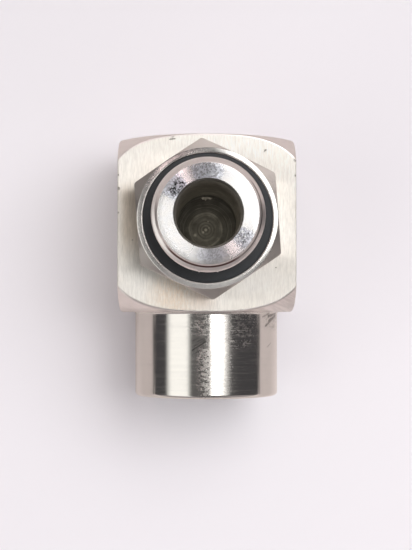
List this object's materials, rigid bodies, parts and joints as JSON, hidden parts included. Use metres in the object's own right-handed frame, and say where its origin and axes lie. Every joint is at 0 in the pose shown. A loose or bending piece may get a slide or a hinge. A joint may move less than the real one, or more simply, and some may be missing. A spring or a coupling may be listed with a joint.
{
  "type": "swivel elbow",
  "caption": "Right-angle hydraulic swivel elbow: a square block with rounded ends and a round female port boss carries a hexagon stud with a seal ring that turns freely on balls.",
  "frame": {"origin": "centre of the block's rear face, on the swivel axis", "axes": "+Z along the swivel axis, out of the stud; -Y along the female port's axis, out of its mouth, 18 mm above the rear face; +X completes the right-handed frame"},
  "size_m": [0.036, 0.0537, 0.0659],
  "materials": {
    "housing_steel": "fine ground bar faces, turned boss and ends, bright plated",
    "stem_steel": "turned, bright plated",
    "seal_rubber": "matt moulded elastomer",
    "backup_plastic": "white PTFE",
    "ball_steel": "polished bearing steel",
    "screw_steel": "black oxide"
  },
  "bodies": {
    "body": {"housing": "housing_steel", "front_loading_pin": "ball_steel", "rear_loading_pin": "ball_steel", "front_set_screw": "screw_steel", "rear_set_screw": "screw_steel"},
    "swivel_stem": {"stem": "stem_steel", "stud_seal_ring": "seal_rubber", "dust_wiper": "seal_rubber", "pressure_o_ring": "seal_rubber", "inner_backup_ring": "backup_plastic", "outer_backup_ring": "backup_plastic"},
    "front_balls": {"front_ball_row": "ball_steel"},
    "rear_balls": {"rear_ball_row": "ball_steel"}
  },
  "joints": [
    {"name": "stem_spin", "type": "hinge", "parent": "body", "child": "swivel_stem", "pos_m": [0, 0, 0.018], "axis": [0, 0, 1], "continuous": true},
    {"name": "front_balls_spin", "type": "hinge", "parent": "body", "child": "front_balls", "pos_m": [0, 0, 0.0334], "axis": [0, 0, 1], "continuous": true},
    {"name": "rear_balls_spin", "type": "hinge", "parent": "body", "child": "rear_balls", "pos_m": [0, 0, 0.0304], "axis": [0, 0, 1], "continuous": true}
  ],
  "couplings": [
    {"joint": "front_balls_spin", "follows": "stem_spin", "ratio": 0.4406},
    {"joint": "rear_balls_spin", "follows": "stem_spin", "ratio": 0.4406}
  ]
}
